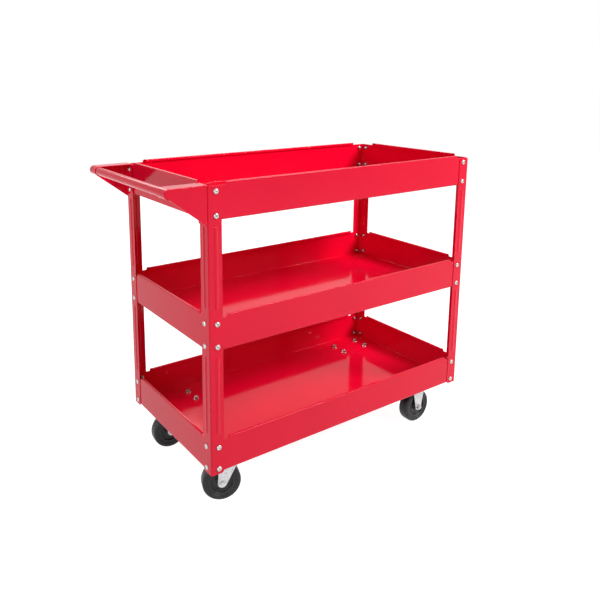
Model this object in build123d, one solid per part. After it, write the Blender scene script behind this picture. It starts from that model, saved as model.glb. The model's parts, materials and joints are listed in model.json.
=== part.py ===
from build123d import *
import os

# Rolling steel service cart: three pressed trays bolted to four angle posts, a push handle
# folded from sheet at one end, two swivel casters under the handle and two rigid ones under
# the nose. Millimetres, +Z up, +X from the handle to the nose, +Y to the left of the person
# who pushes. The origin is on the floor, under the middle of the overall box.

# ---------------------------------------------------------------------------- frame and posts
POST_SPAN_X = 850.0  # over the outer faces of the posts' end flanges
POST_SPAN_Y = 430.0  # over the outer faces of the posts' side flanges
POST_LENGTH = 680.0
POST_FLANGE = 35.0
POST_SHEET = 1.5
POST_BEND_R = 3.0  # outside of the bend
POST_TIP_R = 8.0  # rounded free corners at both ends of each flange
POST_DROP = 3.0  # reach of the posts below the bottom tray

BEAD_WIDTH = 12.0
BEAD_HEIGHT = 2.0
BEAD_FROM_CORNER = 19.5
BEAD_ABOVE_BOLT = 33.0  # from a tray's upper bolt to the start of the bead above it
BEAD_BELOW_BOLT = 24.0  # from the end of a bead to the next tray's lower bolt

# -------------------------------------------------------------------------------------- trays
TRAY_COUNT = 3
TRAY_SHEET = 1.0
TRAY_WALL = 76.7  # height of the wall at the corners, where it has no hem
TRAY_CORNER_R = 6.0
TRAY_FLOOR_R = 3.0  # outside of the bend between floor and wall
HEM_HEIGHT = 6.8
HEM_WIDTH = 6.5
HEM_BEND_R = 2.0
HEM_SETBACK = 50.5  # from the tray's outer corner to the start of each hem
HEM_SHOULDER = 6.0  # rounded step from the hem's height down to the corner wall
HEM_SHOULDER_R = 5.0

# ------------------------------------------------------------------------------------- handle
HANDLE_REACH = 101.0  # from the posts' end faces to the front of the grip
HANDLE_SHEET = 1.5
HANDLE_RISE = 4.5  # top of the brackets above the posts
BRACKET_DEPTH = 90.5  # height of a bracket where it meets its post
BRACKET_WIDTH = 38.0  # width of the top flange, nose and end tab
BRACKET_BEND_R = 2.5
GRIP_D = 20.0
GRIP_WALL = 1.5

# ------------------------------------------------------------------------------ tray fasteners
BOLT_D = 6.0
BOLT_HEAD_D = 12.5
BOLT_HEAD_H = 3.8
BOLT_HEAD_R = 2.3  # rounding of the head's rim
BOLT_LENGTH = 12.0
BOLT_HOLE_PLAY = 0.2  # all round the shank
BOLT_FROM_CORNER = 21.0
BOLT_ABOVE_FLOOR = 10.5  # lower bolt, from the tray's underside
BOLT_RISE = 54.0  # from the lower bolt to the upper one
BOLT_BELOW_TOP = 10.5  # the top tray's upper bolt, from the top of the post
NUT_FLATS = 10.0
NUT_HEIGHT = 5.0

# ------------------------------------------------------------------------------------- casters
CASTER_HEIGHT = 129.0  # from the floor to the tray's underside
CASTER_FROM_END = 99.0  # plate centres, from the outer faces of the posts
CASTER_FROM_SIDE = 69.0
SWIVEL_TRAIL = 29.0  # from the kingpin to the axle
SWIVEL_ANGLES = {"handle_left": 176.0, "handle_right": 160.0}  # forks at rest, from +X

WHEEL_D = 98.0
TYRE_WIDTH = 32.0
TYRE_SHOULDER = 6.0  # rounding between tread and side
SIDE_RING_D = 84.0  # raised ring moulded on each side of the tyre
SIDE_RING_WIDTH = 2.5
SIDE_RING_H = 0.8
RIM_D = 70.0
RIM_WIDTH = 28.0
RIM_DEPTH = 6.0  # thickness of the rim, in the radius
WEB_WIDTH = 21.0
WEB_RING_D = 50.0  # raised ring on each side of the web
WEB_RING_WIDTH = 4.0
WEB_RING_H = 1.6
HUB_D = 26.0
HUB_WIDTH = 34.0
HUB_SIDE_PLAY = 0.4
SLEEVE_D = 12.0
SLEEVE_PLAY = 0.08  # all round, between the hub and its sleeve

PLATE_X = 112.0
PLATE_Y = 72.0
PLATE_SHEET = 3.0
PLATE_CORNER_R = 8.0
PLATE_HOLES_X = 93.0
PLATE_HOLES_Y = 48.0

FORK_SHEET = 2.5
FORK_BEND_R = 4.0
FORK_TOP = 53.0  # length of a leg where it leaves the web
FORK_END_R = 11.0  # rounded end of a leg, round the axle
AXLE_D = 8.0
AXLE_PLAY = 0.15  # all round, in the legs' holes
AXLE_FLATS = 13.0
AXLE_HEAD_H = 5.3
AXLE_NUT_H = 6.5
AXLE_PROUD = 2.5  # thread beyond the nut

DISH_DEPTH = 3.2  # the swivel plate's dish, pressed down round the kingpin
DISH_D = 46.0
DISH_SLOPE = 2.0
UPPER_RACE_D = 42.0
UPPER_RACE_BORE = 30.0
UPPER_RACE_H = 5.5
LOWER_RACE_D = 30.0
LOWER_RACE_BORE = 20.0
LOWER_RACE_H = 4.0
YOKE_D = 54.0
YOKE_BORE = 18.0
LEG_SHIFT = 10.0  # middle of the legs' upper end, behind the kingpin
CUP_D = 33.0
CUP_SHEET = 1.5
KINGPIN_D = 10.0
KINGPIN_HEAD_D = 18.0
KINGPIN_HEAD_H = 2.6

CASTER_BOLT_D = 8.0
CASTER_BOLT_FLATS = 13.0
CASTER_BOLT_HEAD_H = 5.3
CASTER_BOLT_FLANGE_D = 18.0
CASTER_BOLT_FLANGE_H = 1.6
CASTER_BOLT_LENGTH = 14.0
CASTER_NUT_FLATS = 13.0
CASTER_NUT_H = 6.5

# ----------------------------------------------------------------------------------- worked out
TRAY_X = POST_SPAN_X - 2 * POST_SHEET
TRAY_Y = POST_SPAN_Y - 2 * POST_SHEET
POST_BOTTOM = CASTER_HEIGHT - POST_DROP
POST_TOP = POST_BOTTOM + POST_LENGTH
TOP_TRAY_LEVEL = POST_TOP - BOLT_BELOW_TOP - BOLT_RISE - BOLT_ABOVE_FLOOR
TRAY_PITCH = (TOP_TRAY_LEVEL - CASTER_HEIGHT) / (TRAY_COUNT - 1)
TRAY_LEVELS = [CASTER_HEIGHT + i * TRAY_PITCH for i in range(TRAY_COUNT)]
BOLT_X = POST_SPAN_X / 2 - BOLT_FROM_CORNER
BOLT_Y = POST_SPAN_Y / 2 - BOLT_FROM_CORNER
BOLT_LEVELS = [z + BOLT_ABOVE_FLOOR + up for z in TRAY_LEVELS for up in (0, BOLT_RISE)]
CASTER_X = POST_SPAN_X / 2 - CASTER_FROM_END
CASTER_Y = POST_SPAN_Y / 2 - CASTER_FROM_SIDE
LEG_GAP = HUB_WIDTH + 2 * HUB_SIDE_PLAY
FORK_WIDTH = LEG_GAP + 2 * FORK_SHEET

# Heights in a caster, from the tray's underside.
AXLE_Z = WHEEL_D / 2 - CASTER_HEIGHT
UPPER_RACE_Z = -DISH_DEPTH - PLATE_SHEET - UPPER_RACE_H
YOKE_Z = UPPER_RACE_Z - FORK_SHEET
LOWER_RACE_Z = YOKE_Z - LOWER_RACE_H
CUP_Z = LOWER_RACE_Z - CUP_SHEET

# The handle reaches out at one end and the bolt heads stand out at the other.
X_LOW = -POST_SPAN_X / 2 - HANDLE_REACH
X_HIGH = POST_SPAN_X / 2 + BOLT_HEAD_H
ORIGIN_SHIFT = Pos(-(X_LOW + X_HIGH) / 2, 0, 0)

CORNERS = {
    "handle_left": (-1, 1),
    "handle_right": (-1, -1),
    "nose_left": (1, 1),
    "nose_right": (1, -1),
}


def hexagon(flats, height):
    """A hexagonal prism that stands on the XY plane, with two flats across X."""
    return extrude(RegularPolygon(flats / 2, 6, major_radius=False, rotation=30), height)


def cylinder(diameter, height, z=0.0):
    """An upright cylinder whose foot is at height z."""
    return Pos(0, 0, z) * Cylinder(diameter / 2, height, align=(Align.CENTER, Align.CENTER, Align.MIN))


def nut(flats, bore, height):
    """A hexagonal nut that stands on the XY plane."""
    return hexagon(flats, height) - cylinder(bore, height)


def bolt_hole(sheet):
    """A cutter along Y for one tray bolt, long enough for a sheet of this thickness."""
    return Rot(90, 0, 0) * Cylinder(BOLT_D / 2 + BOLT_HOLE_PLAY, 4 * sheet)


# -------------------------------------------------------------------------------------- posts
def capsule(radius, length):
    """An upright rod with round ends, its straight stretch starting at the origin."""
    rod = cylinder(2 * radius, length)
    return rod + Sphere(radius) + Pos(0, 0, length) * Sphere(radius)


def bead_spans():
    """The two stretches of each flange, between trays, that carry a bead."""
    upper_bolts, lower_bolts = BOLT_LEVELS[1::2], BOLT_LEVELS[2::2]
    return [
        (upper + BEAD_ABOVE_BOLT - POST_BOTTOM, lower - BEAD_BELOW_BOLT - POST_BOTTOM)
        for upper, lower in zip(upper_bolts, lower_bolts)
    ]


def post():
    """An angle post with its outer corner on the Z axis and its flanges along +X and +Y."""
    outer = Rectangle(POST_FLANGE, POST_FLANGE, align=(Align.MIN, Align.MIN))
    section = outer - Pos(POST_SHEET, POST_SHEET) * outer
    near_axis = section.vertices().sort_by_distance((0, 0, 0))
    section = fillet(near_axis[0], POST_BEND_R)
    inner_corner = section.vertices().sort_by_distance((POST_SHEET, POST_SHEET, 0))[0]
    section = fillet(inner_corner, POST_BEND_R - POST_SHEET)
    body = extrude(section, POST_LENGTH)

    tips = [
        edge
        for axis, across in ((Axis.X, Axis.Y), (Axis.Y, Axis.X))
        for edge in body.edges().filter_by(across).group_by(axis)[-1]
    ]
    body = fillet(tips, POST_TIP_R)

    # Each bead is pressed outwards, so its inside is hollow.
    radius = (BEAD_WIDTH**2 / 4 + BEAD_HEIGHT**2) / (2 * BEAD_HEIGHT)
    axis_depth = radius - BEAD_HEIGHT
    outside = Pos(BEAD_FROM_CORNER, 0, POST_LENGTH / 2) * Box(
        BEAD_WIDTH, 2 * BEAD_HEIGHT, POST_LENGTH, align=(Align.CENTER, Align.MAX, Align.CENTER)
    )
    for low, high in bead_spans():
        straight = high - low - BEAD_WIDTH
        place = Pos(BEAD_FROM_CORNER, axis_depth, low + BEAD_WIDTH / 2)
        ridge = (place * capsule(radius, straight)) & outside
        hollow = place * capsule(radius - POST_SHEET, straight)
        for bead, groove in ((ridge, hollow), (to_end_flange(ridge), to_end_flange(hollow))):
            body = body + bead - groove

    for level in BOLT_LEVELS:
        hole = Pos(BOLT_FROM_CORNER, 0, level - POST_BOTTOM) * bolt_hole(POST_SHEET)
        body -= [hole, to_end_flange(hole)]
    return body


def to_end_flange(shape):
    """The same feature on the post's other flange."""
    return mirror(shape, about=Plane(origin=(0, 0, 0), z_dir=(1, -1, 0)))


def post_at(sign_x, sign_y):
    """A post turned to stand at one corner of the frame."""
    yaw = {(-1, -1): 0, (1, -1): 90, (1, 1): 180, (-1, 1): 270}[(sign_x, sign_y)]
    place = Pos(sign_x * POST_SPAN_X / 2, sign_y * POST_SPAN_Y / 2, POST_BOTTOM)
    return place * Rot(0, 0, yaw) * post()


# -------------------------------------------------------------------------------------- trays
def pan(length, width, height, corner_r, floor_r):
    """A block that stands on the XY plane with rounded upright and bottom edges."""
    block = extrude(RectangleRounded(length, width, corner_r), height)
    return fillet(block.faces().sort_by(Axis.Z)[0].edges(), floor_r)


def hem(length):
    """The rolled top edge of one wall, along X, with the wall's outer face on the XZ plane."""
    roll = Rectangle(HEM_WIDTH, HEM_HEIGHT, align=(Align.MIN, Align.MIN))
    roll = fillet(roll.vertices().group_by(Axis.Y)[-1], HEM_BEND_R)
    room = Pos(TRAY_SHEET, 0) * Rectangle(
        HEM_WIDTH - 2 * TRAY_SHEET, HEM_HEIGHT - TRAY_SHEET, align=(Align.MIN, Align.MIN)
    )
    room = fillet(room.vertices().group_by(Axis.Y)[-1], HEM_BEND_R - TRAY_SHEET)
    across = Plane(origin=(-length / 2, 0, 0), x_dir=(0, 1, 0), z_dir=(1, 0, 0))
    strip = extrude(across * (roll - room), length)

    step = Rectangle(HEM_SHOULDER, HEM_HEIGHT, align=(Align.MIN, Align.MIN))
    far_top = step.vertices().sort_by_distance((HEM_SHOULDER, HEM_HEIGHT, 0))[0]
    step = fillet(far_top, HEM_SHOULDER_R)
    upright = Plane(origin=(length / 2, TRAY_SHEET, 0), x_dir=(1, 0, 0), z_dir=(0, -1, 0))
    shoulder = extrude(upright * step, TRAY_SHEET)
    return strip + shoulder + mirror(shoulder, about=Plane.YZ)


def tray():
    """A pressed tray: floor, four walls and a hem along the middle of each wall."""
    outside = pan(TRAY_X, TRAY_Y, TRAY_WALL, TRAY_CORNER_R, TRAY_FLOOR_R)
    inside = pan(
        TRAY_X - 2 * TRAY_SHEET,
        TRAY_Y - 2 * TRAY_SHEET,
        TRAY_WALL,
        TRAY_CORNER_R - TRAY_SHEET,
        TRAY_FLOOR_R - TRAY_SHEET,
    )
    body = outside - Pos(0, 0, TRAY_SHEET) * inside
    for side, other, yaws in ((TRAY_X, TRAY_Y, (0, 180)), (TRAY_Y, TRAY_X, (90, 270))):
        rolled = Pos(0, -other / 2, TRAY_WALL) * hem(side - 2 * HEM_SETBACK)
        for yaw in yaws:
            body += Rot(0, 0, yaw) * rolled

    hole = bolt_hole(TRAY_SHEET)
    for sign_x, sign_y in CORNERS.values():
        for height in (BOLT_ABOVE_FLOOR, BOLT_ABOVE_FLOOR + BOLT_RISE):
            side = Pos(sign_x * BOLT_X, sign_y * (TRAY_Y - TRAY_SHEET) / 2, height) * hole
            end = Pos(sign_x * (TRAY_X - TRAY_SHEET) / 2, sign_y * BOLT_Y, height) * Rot(0, 0, 90) * hole
            body -= [side, end]
    return body


def bottom_tray():
    """The tray that the casters are bolted to, with their bolt holes in its floor."""
    hole = Cylinder(CASTER_BOLT_D / 2 + BOLT_HOLE_PLAY, 4 * TRAY_SHEET)
    return tray() - [Pos(*place) * hole for place in caster_bolt_places()]


# ------------------------------------------------------------------------------------- handle
def bracket(sign_y):
    """A handle bracket: side plate, top flange rolled into a nose, and a tab on the post."""
    top = POST_TOP + HANDLE_RISE
    nose_r = GRIP_D / 2 + HANDLE_SHEET
    post_x = -POST_SPAN_X / 2
    nose_x, nose_z = post_x - HANDLE_REACH + nose_r, top - nose_r

    # Drawn in XZ: the plane's normal is -Y, so what is drawn grows towards the cart's middle.
    drawing = Plane(origin=(0, POST_SPAN_Y / 2, 0), x_dir=(1, 0, 0), z_dir=(0, -1, 0))
    upper = Pos((nose_x + post_x) / 2, nose_z) * Rectangle(post_x - nose_x, 2 * nose_r)
    upper = extrude(drawing * (upper + Pos(nose_x, nose_z) * Circle(nose_r)), BRACKET_WIDTH)
    upper = fillet(upper.faces().sort_by(Axis.Y)[-1].edges(), BRACKET_BEND_R)
    corners = [
        (nose_x, top - BRACKET_BEND_R),
        (nose_x, nose_z - nose_r),
        (post_x, top - BRACKET_DEPTH),
        (post_x, top - BRACKET_BEND_R),
    ]
    lower = extrude(drawing * make_face(Polyline(*corners, close=True)), BRACKET_WIDTH)
    lower = fillet(lower.edges().group_by(Axis.Y)[-1].sort_by(Axis.X)[-1], BRACKET_BEND_R)
    wedge = upper + lower

    room = Pos((nose_x + post_x - HANDLE_SHEET) / 2, top - HANDLE_SHEET) * Rectangle(
        post_x - HANDLE_SHEET - nose_x, BRACKET_DEPTH, align=(Align.CENTER, Align.MAX)
    )
    room += Pos(nose_x, nose_z) * Circle(GRIP_D / 2)
    shelf = Plane(origin=(0, POST_SPAN_Y / 2 - HANDLE_SHEET, 0), x_dir=(1, 0, 0), z_dir=(0, -1, 0))
    body = wedge - extrude(shelf * room, BRACKET_WIDTH)
    for level in BOLT_LEVELS[-2:]:
        body -= Pos(post_x, BOLT_Y, level) * Rot(0, 0, 90) * bolt_hole(HANDLE_SHEET)
    return body if sign_y > 0 else mirror(body, about=Plane.XZ)


def grip():
    """The tube that the hands hold, between the two side plates."""
    nose_r = GRIP_D / 2 + HANDLE_SHEET
    length = POST_SPAN_Y - 2 * HANDLE_SHEET
    place = Pos(-POST_SPAN_X / 2 - HANDLE_REACH + nose_r, 0, POST_TOP + HANDLE_RISE - nose_r)
    tube = Cylinder(GRIP_D / 2, length) - Cylinder(GRIP_D / 2 - GRIP_WALL, length)
    return place * Rot(90, 0, 0) * tube


# ------------------------------------------------------------------------------------- casters
def band(outside, inside, width):
    """A ring on the Z axis, its width halved by the XY plane."""
    return Cylinder(outside / 2, width) - Cylinder(inside / 2, width)


def wheel_hub():
    """The wheel's core on the Y axis: rim, ringed web and boss, bored for the sleeve."""
    core = (
        band(RIM_D, RIM_D - 2 * RIM_DEPTH, RIM_WIDTH)
        + Cylinder(RIM_D / 2 - RIM_DEPTH / 2, WEB_WIDTH)
        + band(WEB_RING_D, WEB_RING_D - 2 * WEB_RING_WIDTH, WEB_WIDTH + 2 * WEB_RING_H)
        + Cylinder(HUB_D / 2, HUB_WIDTH)
        - Cylinder(SLEEVE_D / 2 + SLEEVE_PLAY, HUB_WIDTH)
    )
    return Rot(90, 0, 0) * core


def tyre():
    """The rubber tread on the rim, with rounded shoulders and a raised ring on each side."""
    tread = Cylinder(WHEEL_D / 2, TYRE_WIDTH - 2 * SIDE_RING_H)
    tread = fillet(tread.edges().filter_by(GeomType.CIRCLE), TYRE_SHOULDER)
    tread += band(SIDE_RING_D, SIDE_RING_D - 2 * SIDE_RING_WIDTH, TYRE_WIDTH)
    return Rot(90, 0, 0) * (tread - Cylinder(RIM_D / 2, TYRE_WIDTH))


def axle_sleeve():
    """The spacer that the hub turns on, clamped between the legs."""
    return Rot(90, 0, 0) * (Cylinder(SLEEVE_D / 2, LEG_GAP) - Cylinder(AXLE_D / 2 + AXLE_PLAY, LEG_GAP))


def axle_bolt():
    """The axle bolt, head on the +Y side."""
    length = FORK_WIDTH + AXLE_NUT_H + AXLE_PROUD
    bolt = hexagon(AXLE_FLATS, AXLE_HEAD_H) + cylinder(AXLE_D, length, -length)
    return Pos(0, FORK_WIDTH / 2, 0) * Rot(-90, 0, 0) * bolt


def axle_nut():
    """The nut on the far end of the axle bolt."""
    return Pos(0, -FORK_WIDTH / 2, 0) * Rot(90, 0, 0) * nut(AXLE_FLATS, AXLE_D, AXLE_NUT_H)


def fork_legs(top_z, head_x, axle_x):
    """A U of sheet, open downwards, cut to two tapering legs with rounded ends."""
    height = top_z - AXLE_Z + FORK_END_R
    outer = Rectangle(FORK_WIDTH, height, align=(Align.CENTER, Align.MAX))
    outer = fillet(outer.vertices().group_by(Axis.Y)[-1], FORK_BEND_R)
    inner = Pos(0, -FORK_SHEET) * Rectangle(LEG_GAP, height, align=(Align.CENTER, Align.MAX))
    inner = fillet(inner.vertices().group_by(Axis.Y)[-1], FORK_BEND_R - FORK_SHEET)
    span = FORK_TOP + abs(axle_x) + FORK_END_R
    across = Plane(origin=(-span, 0, top_z), x_dir=(0, 1, 0), z_dir=(1, 0, 0))
    channel = extrude(across * (outer - inner), 2 * span)

    head = Pos(head_x, top_z) * Rectangle(FORK_TOP, FORK_BEND_R, align=(Align.CENTER, Align.MAX))
    foot = Pos(axle_x, AXLE_Z) * Circle(FORK_END_R)
    outline = make_hull(head.edges() + foot.edges())
    cheeks = extrude(Plane.XZ * outline, FORK_WIDTH, both=True)
    bore = Pos(axle_x, 0, AXLE_Z) * Rot(90, 0, 0) * Cylinder(AXLE_D / 2 + AXLE_PLAY, 2 * FORK_WIDTH)
    return (channel & cheeks) - bore


def plate_blank():
    """A caster plate with its four bolt holes, its top face on the XY plane."""
    blank = RectangleRounded(PLATE_X, PLATE_Y, PLATE_CORNER_R)
    holes = GridLocations(PLATE_HOLES_X, PLATE_HOLES_Y, 2, 2) * Circle(CASTER_BOLT_D / 2 + BOLT_HOLE_PLAY)
    return extrude(blank - holes, -PLATE_SHEET)


def swivel_plate():
    """The plate of a swivel caster, dished down round the kingpin to carry the upper race."""
    dish = cylinder(DISH_D + 2 * PLATE_SHEET, DISH_DEPTH + PLATE_SHEET, -DISH_DEPTH - PLATE_SHEET)
    dish = chamfer(dish.edges().group_by(Axis.Z)[0], DISH_SLOPE)
    hollow = cylinder(DISH_D, DISH_DEPTH, -DISH_DEPTH)
    hollow = chamfer(hollow.edges().group_by(Axis.Z)[0], DISH_SLOPE)
    bore = Cylinder(KINGPIN_D / 2, 3 * (DISH_DEPTH + PLATE_SHEET))
    return plate_blank() + dish - hollow - bore


def race(outside, bore, height, z):
    """The ring of balls between two flat tracks, its foot at height z."""
    return cylinder(outside, height, z) - cylinder(bore, height, z)


def swivel_fork():
    """The turning fork: a flat yoke on the kingpin and two legs raked back to the axle."""
    top_z = YOKE_Z + FORK_SHEET
    yoke = cylinder(YOKE_D, FORK_SHEET, YOKE_Z)
    return fork_legs(top_z, LEG_SHIFT, SWIVEL_TRAIL) + yoke - cylinder(YOKE_BORE, FORK_SHEET, YOKE_Z)


def race_cup():
    """The cup under the yoke that holds the lower race, on the kingpin."""
    cup = cylinder(CUP_D, CUP_SHEET + LOWER_RACE_H / 2, CUP_Z) - cylinder(
        CUP_D - 2 * CUP_SHEET, LOWER_RACE_H, LOWER_RACE_Z
    )
    return cup - cylinder(KINGPIN_D, CUP_SHEET, CUP_Z)


def kingpin():
    """The rivet through plate, races and cup, with a head at each end."""
    shank_top = -DISH_DEPTH
    shank = cylinder(KINGPIN_D, shank_top - CUP_Z, CUP_Z)
    upper = cylinder(KINGPIN_HEAD_D, KINGPIN_HEAD_H, shank_top)
    lower = cylinder(KINGPIN_HEAD_D, KINGPIN_HEAD_H, CUP_Z - KINGPIN_HEAD_H)
    return shank + upper + lower


def rigid_fork():
    """The fixed fork, welded by its web to the underside of its plate."""
    return fork_legs(-PLATE_SHEET, 0.0, 0.0)


def wheel_pieces(axle_x):
    """Wheel, axle and sleeve, placed at the axle of a fork."""
    place = Pos(axle_x, 0, AXLE_Z)
    makers = {
        "axle_bolt": axle_bolt,
        "axle_nut": axle_nut,
        "axle_sleeve": axle_sleeve,
        "wheel_hub": wheel_hub,
        "tyre": tyre,
    }
    return {name: place * make() for name, make in makers.items()}


def caster(corner, sign_x, sign_y):
    """Every piece of one caster, at its corner, keyed by node name."""
    place = Pos(sign_x * CASTER_X, sign_y * CASTER_Y, CASTER_HEIGHT)
    if sign_x < 0:
        fixed = {
            "caster_plate": swivel_plate(),
            "upper_race": race(UPPER_RACE_D, UPPER_RACE_BORE, UPPER_RACE_H, UPPER_RACE_Z),
            "lower_race": race(LOWER_RACE_D, LOWER_RACE_BORE, LOWER_RACE_H, LOWER_RACE_Z),
            "race_cup": race_cup(),
            "kingpin": kingpin(),
        }
        turned = {"fork": swivel_fork(), **wheel_pieces(SWIVEL_TRAIL)}
        yaw = SWIVEL_ANGLES[corner]
    else:
        fixed = {"caster_plate": plate_blank()}
        turned = {"fork": rigid_fork(), **wheel_pieces(0.0)}
        yaw = 0.0
    pieces = fixed | {name: Rot(0, 0, yaw) * shape for name, shape in turned.items()}
    return {f"{corner}_{name}": place * shape for name, shape in pieces.items()}


# ----------------------------------------------------------------------------------- fasteners
def tray_bolt():
    """A pan head screw: the head stands on the XY plane and the shank points down."""
    head = cylinder(BOLT_HEAD_D, BOLT_HEAD_H)
    head = fillet(head.edges().group_by(Axis.Z)[-1], BOLT_HEAD_R)
    return head + cylinder(BOLT_D, BOLT_LENGTH, -BOLT_LENGTH)


def caster_bolt():
    """A flanged hexagon bolt: the flange stands on the XY plane and the shank points down."""
    head = cylinder(CASTER_BOLT_FLANGE_D, CASTER_BOLT_FLANGE_H)
    head += Pos(0, 0, CASTER_BOLT_FLANGE_H) * hexagon(CASTER_BOLT_FLATS, CASTER_BOLT_HEAD_H)
    return head + cylinder(CASTER_BOLT_D, CASTER_BOLT_LENGTH, -CASTER_BOLT_LENGTH)


def tray_fasteners(level):
    """Bolts and nuts of one tray, two of each on every flange of the four posts."""
    screw, lock = tray_bolt(), nut(NUT_FLATS, BOLT_D, NUT_HEIGHT)
    bolts, nuts = [], []
    for sign_x, sign_y in CORNERS.values():
        on_tab = sign_x < 0 and level == TRAY_LEVELS[-1]
        tab = HANDLE_SHEET if on_tab else 0.0
        spots = (
            (Pos(sign_x * BOLT_X, sign_y * POST_SPAN_Y / 2, 0) * Rot(-90 * sign_y, 0, 0), 0.0),
            (Pos(sign_x * POST_SPAN_X / 2, sign_y * BOLT_Y, 0) * Rot(0, 90 * sign_x, 0), tab),
        )
        for height in (BOLT_ABOVE_FLOOR, BOLT_ABOVE_FLOOR + BOLT_RISE):
            for spot, extra in spots:
                place = Pos(0, 0, level + height) * spot
                bolts.append(place * Pos(0, 0, extra) * screw)
                nuts.append(place * Pos(0, 0, -POST_SHEET - TRAY_SHEET) * Rot(180, 0, 0) * lock)
    return Compound(bolts), Compound(nuts)


def caster_bolt_places():
    """Where the caster bolts pass the bottom tray, from the middle of its underside."""
    holes = GridLocations(PLATE_HOLES_X, PLATE_HOLES_Y, 2, 2)
    return [
        (sign_x * CASTER_X + hole.position.X, sign_y * CASTER_Y + hole.position.Y)
        for sign_x, sign_y in CORNERS.values()
        for hole in holes
    ]


def caster_fasteners():
    """Bolts and nuts of the four caster plates."""
    bolt = Pos(0, 0, CASTER_HEIGHT + TRAY_SHEET) * caster_bolt()
    lock = nut(CASTER_NUT_FLATS, CASTER_BOLT_D, CASTER_NUT_H)
    lock = Pos(0, 0, CASTER_HEIGHT - PLATE_SHEET) * Rot(180, 0, 0) * lock
    places = [Pos(*place) for place in caster_bolt_places()]
    return Compound([at * bolt for at in places]), Compound([at * lock for at in places])


# ----------------------------------------------------------------------------------- assembly
def cart():
    """Every node of the cart, keyed by name."""
    nodes = {}
    plain = tray()
    shapes = {"bottom_tray": bottom_tray(), "middle_tray": plain, "top_tray": plain}
    for (name, shape), level in zip(shapes.items(), TRAY_LEVELS):
        nodes[name] = Pos(0, 0, level) * shape
        nodes[f"{name}_bolts"], nodes[f"{name}_nuts"] = tray_fasteners(level)
    for corner, signs in CORNERS.items():
        nodes[f"{corner}_post"] = post_at(*signs)
    nodes["handle_bracket_left"] = bracket(1)
    nodes["handle_bracket_right"] = bracket(-1)
    nodes["handle_grip"] = grip()
    for corner, signs in CORNERS.items():
        nodes |= caster(corner, *signs)
    nodes["caster_bolts"], nodes["caster_nuts"] = caster_fasteners()
    return nodes


if __name__ == "__main__":
    os.makedirs("parts", exist_ok=True)
    for node, shape in cart().items():
        export_step(ORIGIN_SHIFT * shape, f"parts/{node}.step")
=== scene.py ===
"""Looks of the three-tray steel service cart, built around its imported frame."""

import json
import logging
import math
from dataclasses import dataclass, field
from enum import Enum

import bmesh
import bpy
from mathutils import Matrix, Vector

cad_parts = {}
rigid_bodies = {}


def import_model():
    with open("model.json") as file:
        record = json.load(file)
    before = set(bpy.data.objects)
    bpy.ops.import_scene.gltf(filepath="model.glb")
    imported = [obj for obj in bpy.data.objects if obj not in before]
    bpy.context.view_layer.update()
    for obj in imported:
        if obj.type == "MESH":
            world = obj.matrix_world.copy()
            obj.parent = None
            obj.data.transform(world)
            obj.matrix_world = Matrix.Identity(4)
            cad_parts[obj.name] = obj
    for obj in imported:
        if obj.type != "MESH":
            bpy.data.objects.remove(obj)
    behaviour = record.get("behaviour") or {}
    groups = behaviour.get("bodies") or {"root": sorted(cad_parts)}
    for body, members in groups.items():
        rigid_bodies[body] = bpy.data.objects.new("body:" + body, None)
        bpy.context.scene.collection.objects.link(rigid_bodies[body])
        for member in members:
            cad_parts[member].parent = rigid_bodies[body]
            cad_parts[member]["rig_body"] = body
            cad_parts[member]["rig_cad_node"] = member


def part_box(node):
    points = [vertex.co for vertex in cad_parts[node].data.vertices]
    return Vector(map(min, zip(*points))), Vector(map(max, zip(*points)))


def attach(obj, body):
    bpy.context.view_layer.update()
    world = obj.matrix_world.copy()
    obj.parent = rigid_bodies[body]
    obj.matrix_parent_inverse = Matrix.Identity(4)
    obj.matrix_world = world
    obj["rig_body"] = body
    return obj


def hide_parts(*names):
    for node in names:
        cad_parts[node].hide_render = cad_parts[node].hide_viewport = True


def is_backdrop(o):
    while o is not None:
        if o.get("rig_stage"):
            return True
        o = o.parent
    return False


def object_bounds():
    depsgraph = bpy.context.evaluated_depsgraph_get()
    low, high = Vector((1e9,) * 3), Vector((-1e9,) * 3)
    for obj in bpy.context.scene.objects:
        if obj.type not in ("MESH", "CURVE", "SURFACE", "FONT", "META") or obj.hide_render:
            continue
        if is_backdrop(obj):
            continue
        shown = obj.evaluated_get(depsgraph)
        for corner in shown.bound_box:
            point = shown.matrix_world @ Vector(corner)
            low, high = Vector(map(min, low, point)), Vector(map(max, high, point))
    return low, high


LOG = logging.getLogger("service_cart")
MM = 0.001
MERGE = 0.002 * MM  # points nearer than this are one
CLOSE = 0.001 * MM  # edges shorter than this are closed up
WELD = 0.01 * MM  # corners of one CAD solid meet within this
LEVEL = 0.02  # upright component of a normal that counts as level
UP = Vector((0, 0, 1))
Colour = tuple[float, float, float]
Point = tuple[float, float, float]
Outline = list[tuple[float, float]]


class Slot(Enum):
    """Material slots of the record."""

    PAINT = "red_powder_coat"
    GALVANISED = "galvanised_steel"
    BOLT_ZINC = "zinc_bolt"
    PLASTIC = "black_plastic"
    RUBBER = "black_rubber"


class Corner(Enum):
    """The four corners of the cart, by the names of their posts and casters."""

    HANDLE_LEFT = "handle_left"
    HANDLE_RIGHT = "handle_right"
    NOSE_LEFT = "nose_left"
    NOSE_RIGHT = "nose_right"


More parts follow.
